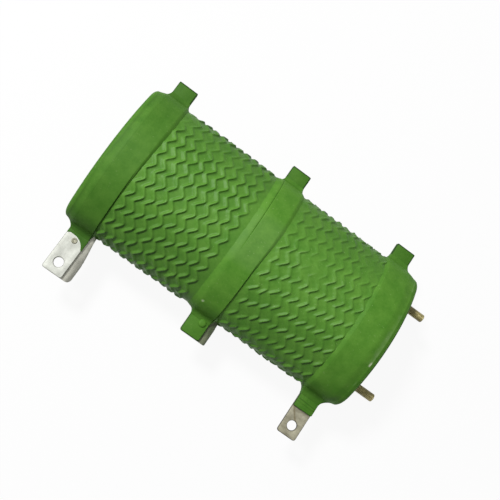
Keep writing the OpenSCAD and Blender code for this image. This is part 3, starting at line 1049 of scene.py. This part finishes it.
def coat_end():
    """The coat's wavy end on the left terminal, darkened as painted shade. A corner: distance from the
    band's edge, Y and rounding.
    """
    over = 0.05
    width = LEFT_BAND[1] - LEFT_BAND[0]
    corners = [
        (-over, -33.0, 0), (width + over, -33.0, 0), (width + over, -44.8, 0.2), (9.4, -43.8, 1.0),
        (8.3, -42.0, 1.5), (7.0, -40.9, 1.5), (4.9, -40.0, 1.5), (1.6, -39.8, 0.8), (-over, -40.7, 0.2)]
    outline = rounded([(LEFT_BAND[0] + x, y) for x, y, _ in corners], [r for _, _, r in corners])
    return shaded(plate(outline, (0.15, 1.36), bevel=0.1), COAT_END_SHADE)


# Left band
LEFT_HOLE = terminal_hole("left_terminal_hole")
LEFT_RIVET = middle("left_lug_rivet")
ring = band_ring(
    LEFT_BAND,
    soft_left=4.6,
    soft_right=at_lugs(1.6, 0.15 + 2.6 * upper_part(-26, 26)),
    cracks=(0.05, LOWER_CRACK),
    flares=[Flare(APEX, 2.6, 1.6, 2.2, 2.6), Flare(-APEX, 3.2, 0.9, 2.2, 2.6)],
    # Tone of the plain coat, darker on the left band than on the others
    tone=0.66, chips=[], seed=0.4)
place("left_band_coat", joined([ring, *upper_lug(LEFT_BAND, LEFT_UPPER_TONE), coat_end()]), BAND_COAT,
      ("left_band_front", "left_band_rear"), COAT_SHARP)
outline = lug_outline(LEFT_BAND, TERMINAL_ROOT, TERMINAL_TIP, corner=1.0)
# The plate's rim is darkened: painted shade of its bevel, and dirt
front = shaded(plate(outline, FRONT, 0.3, [LEFT_HOLE]), face=1.0, rim=0.3)
place("left_terminal_front", front, TIN, ("left_band_front",), METAL_SHARP)
rear = rolled_sheet(LEFT_BAND, -CORE_W / 2, TERMINAL_TIP, corner=3.0, roll_deg=(32, 72))
rear = round_hole(rear, LEFT_HOLE)
place("left_terminal_rear", rear, STEEL, ("left_band_rear",), METAL_SHARP)
front_head = dome(LEFT_RIVET, FRONT[1], radius=1.35, height=0.45, hollow=0.38)
rear_head = flipped(dome(LEFT_RIVET, FRONT[1], radius=1.35, height=0.45))
place("left_rivet_heads", joined([front_head, rear_head]), RIVET, ("left_lug_rivet",), COAT_SHARP)

# Centre band
CENTRE_RIVET = middle("centre_lug_rivet")
RIVET_SUNK = 0.03
RIVET_FOOT = FRONT[1] - RIVET_SUNK
ring = band_ring(
    CENTRE_BAND,
    soft_left=at_lugs(2.2, 5.4),
    soft_right=at_lugs(1.8, 0.2 + 2.8 * upper_part(-14, 14)),
    cracks=(0.26 * upper_part(-8, 8), LOWER_CRACK),
    flares=[Flare(APEX, 1.8, 1.6, 2.0, 2.4), Flare(-APEX, 1.6, 1.8, 2.0, 2.4)],
    tone=1.04, chips=[Chip(-78.8, -33.5, 0.8)], seed=1.9)
rear = rolled_sheet(CENTRE_BAND, -LUG_ROOT, CENTRE_TIP, corner=1.0, roll_deg=(50, 60))
rear_head = flipped(dome(CENTRE_RIVET, RIVET_FOOT, radius=1.6, height=0.5))
place("centre_lug_rear", joined([rear, rear_head]), WORN,
      ("centre_band_rear", "centre_lug_rivet"), COAT_SHARP)
front_head = shaded(dome(CENTRE_RIVET, RIVET_FOOT, radius=1.9, height=0.9, flat=0.3), 0.8)
lower = lower_lug(CENTRE_BAND, CENTRE_TIP, bevel=0.45, corner=1.4)
place("centre_band_coat", joined([ring, *upper_lug(CENTRE_BAND), lower, front_head]), BAND_COAT,
      ("centre_band_front", "centre_band_rear", "centre_lug_rivet"), COAT_SHARP)

# Right band
RIGHT_HOLE = terminal_hole("right_terminal_hole")
FOLD_Y = -41.5
ring = band_ring(
    RIGHT_BAND,
    soft_left=at_lugs(2.4, 3.2),
    soft_right=6.0,
    cracks=(0.06, 0.0),
    flares=[Flare(APEX, 2.0, 3.2, 2.2, 2.6), Flare(-APEX, 2.2, 5.5, 2.2, 3.2)],
    tone=0.98, chips=[Chip(-2.7, -13.0, 1.8)], seed=3.3)
lower = lower_lug(RIGHT_BAND, COVER_TIP, bevel=0.25, corner=0.5)
coated = joined([ring, *upper_lug(RIGHT_BAND), lower, *fold(RIGHT_BAND, FOLD_Y)])
place("right_band_coat", coated, BAND_COAT,
      ("right_band_front", "right_band_rear"), COAT_SHARP)
outline = lug_outline(RIGHT_BAND, TERMINAL_ROOT, TERMINAL_TIP, corner=1.2)
# The terminal's rim is darkened as painted shade
rear = shaded(plate(outline, REAR, 0.4, [RIGHT_HOLE]), face=1.0, rim=0.2)
place("right_terminal", rear, DULL, ("right_band_rear",), METAL_SHARP)


# Mounting screws: a slotted head, a shank, and a threaded stud with a rounded tip

HEAD_H = 2.6
HEAD_R = 3.5
HEAD_ROUND = 0.35
HEAD_CHAMFER = 0.1
SHANK_R = 1.75
THREAD_R = 2.0
THREAD_PITCH = 0.7
THREAD_DEPTH = 0.2
THREAD_STEP = THREAD_PITCH / 8
# Where a groove's flank starts and ends, as shares of the pitch from its middle
FLANK = (0.1, 0.42)
# The thread starts just inside the tube's end, and is full after this run
THREAD_X = CORE_X[1] - 0.6
THREAD_IN = 0.3
THREAD_RUN = 0.8
TIP_L = 0.6
TIP_DROP = 0.9
SLOT_W = 1.2
SLOT_DEPTH = 1.2
SLOT_L = 9.0


def screw_profile():
    """X, radius and share of the thread's depth, from the head to the tip."""
    seat = HEAD_X + HEAD_H
    profile = []
    for t in np.linspace(0, QUARTER, 5):
        x = HEAD_X + HEAD_ROUND * (1 - math.cos(t))
        profile.append((x, HEAD_R - HEAD_ROUND * (1 - math.sin(t)), 0))
    profile += [(seat - HEAD_CHAMFER, HEAD_R, 0), (seat, HEAD_R - HEAD_CHAMFER, 0), (seat, SHANK_R, 0),
                (THREAD_X - THREAD_IN, SHANK_R, 0), (THREAD_X, THREAD_R, 0)]
    for x in np.arange(THREAD_X + 0.1, STUD_TIP - TIP_L, THREAD_STEP):
        profile.append((x, THREAD_R, min(1.0, (x - THREAD_X) / THREAD_RUN)))
    for t in np.linspace(0, QUARTER, 7):
        x = STUD_TIP - TIP_L + TIP_L * math.sin(t)
        profile.append((x, THREAD_R - TIP_DROP * (1 - math.cos(t)), 1 - t / QUARTER))
    return profile


def screw(name, node):
    """Screw with a threaded stud and a slot across its head."""
    y = middle(node)[Y]
    angles = around(36)
    count = len(angles)
    profile = screw_profile()
    verts = []
    for x, radius, share in profile:
        turn = np.mod(x / THREAD_PITCH - angles / (2 * np.pi), 1.0)
        groove = THREAD_DEPTH * share * (1 - smooth(*FLANK, np.abs(turn - 0.5)))
        radii = np.minimum(radius, THREAD_R - groove) if share else np.full(count, radius)
        verts += [(x, y + r * math.cos(t), r * math.sin(t)) for r, t in zip(radii, angles)]
    rings = np.arange(len(verts)).reshape(-1, count)
    faces = [*loft(rings), rings[0][::-1], rings[-1]]
    slot = bmesh.new()
    size = Matrix.Diagonal((2 * SLOT_DEPTH * MM, SLOT_L * MM, SLOT_W * MM, 1))
    bmesh.ops.create_cube(slot, size=1, matrix=Matrix.Translation((HEAD_X * MM, y * MM, 0)) @ size)
    place(name, cut(solid(verts, faces), slot), BRASS, (node,), METAL_SHARP)


screw("upper_threaded_screw", "upper_screw")
screw("lower_threaded_screw", "lower_screw")

# CAD nodes that stay
for name, material in (("ceramic_core", CORE_COAT), ("upper_washer", BRASS), ("lower_washer", BRASS)):
    kept = frame["nodes"][name].data.materials
    kept.clear()
    kept.append(material)


# Stage, in metres: a white floor with a faint shadow, and soft light from the picture's upper left

FLOOR_AT = (-0.075, 0, -0.0214)
FLOOR_SIZE = 6.0
FLOOR_GREY = (0.4, 0.4, 0.4)
FLOOR_WHITE = (0.95, 0.95, 0.95)
# Share of plain white where the floor is seen
FLOOR_GLOW = 0.93
SKY_LEVEL = 0.18
LIGHT_AIM = Vector((-0.075, -0.005, 0.0))
LIGHT_SIDE = Vector((-0.56, 0.23, 0.79)).normalized()
LIGHT_AWAY = 0.9
LIGHT_SIZE = 0.2
LIGHT_POWER = 7.2


def floor_material():
    """Pale diffuse white; a ray that shows the background sees mostly plain white."""
    material = bpy.data.materials.new("floor_white")
    n = Nodes(material)
    n.tree.nodes.remove(n.tree.nodes["Principled BSDF"])
    plain = n.new("ShaderNodeBsdfDiffuse", {"Color": FLOOR_GREY}).outputs[0]
    white = n.new("ShaderNodeBsdfDiffuse", {"Color": FLOOR_WHITE}).outputs[0]
    glow = n.new("ShaderNodeEmission", {"Strength": 1.0}).outputs[0]
    bright = n.new("ShaderNodeMixShader", {0: FLOOR_GLOW, 1: white, 2: glow}).outputs[0]
    shown = n.new("ShaderNodeMixShader", {0: n.sees_background(), 1: plain, 2: bright}).outputs[0]
    n.feed(n.tree.nodes["Material Output"].inputs["Surface"], shown)
    return material


floor_bm = bmesh.new()
floor_place = Matrix.Translation(FLOOR_AT)
bmesh.ops.create_grid(floor_bm, x_segments=8, y_segments=8, size=FLOOR_SIZE, matrix=floor_place)
floor_mesh = bpy.data.meshes.new("floor")
floor_bm.to_mesh(floor_mesh)
floor_bm.free()
floor_mesh.materials.append(floor_material())
floor = link("floor", floor_mesh)

world = bpy.data.worlds.new("studio")
bpy.context.scene.world = world
sky = Nodes(world)
level = sky.math("MULTIPLY_ADD", sky.sees_background(), 1 - SKY_LEVEL, SKY_LEVEL)
sky.fill(sky.tree.nodes["Background"], {"Color": (1, 1, 1), "Strength": level})

lamp = bpy.data.lights.new("key", "AREA")
lamp.shape = "DISK"
lamp.size = LIGHT_SIZE
lamp.energy = LIGHT_POWER
key = link("key", lamp)
key.location = LIGHT_AIM + LIGHT_SIDE * LIGHT_AWAY
key.rotation_mode = "QUATERNION"
key.rotation_quaternion = (-LIGHT_SIDE).to_track_quat("-Z", "Y")


# Camera at the photograph's angle, with its place in metres

CAMERA_AT = (-0.10846, -0.06491, 0.33852)
VIEW_DIRECTION = Vector((0.1009, 0.1889, -0.9768))
VIEW_RIGHT = Vector((0.8057, 0.5605, 0.1916))
FOCAL_PX = 760.0
PICTURE_PX = 500
SENSOR_MM = 36.0

lens = bpy.data.cameras.new("camera")
lens.sensor_width = SENSOR_MM
lens.lens = SENSOR_MM * FOCAL_PX / PICTURE_PX
lens.clip_start = 0.01
lens.clip_end = 50.0
forward = VIEW_DIRECTION.normalized()
right = (VIEW_RIGHT - forward * VIEW_RIGHT.dot(forward)).normalized()
up = right.cross(forward)
turned = Matrix((right, up, -forward)).transposed()
camera = link("camera", lens)
camera.matrix_world = Matrix.Translation(CAMERA_AT) @ turned.to_4x4()
bpy.context.scene.camera = camera
bpy.context.scene.view_settings.view_transform = "Standard"
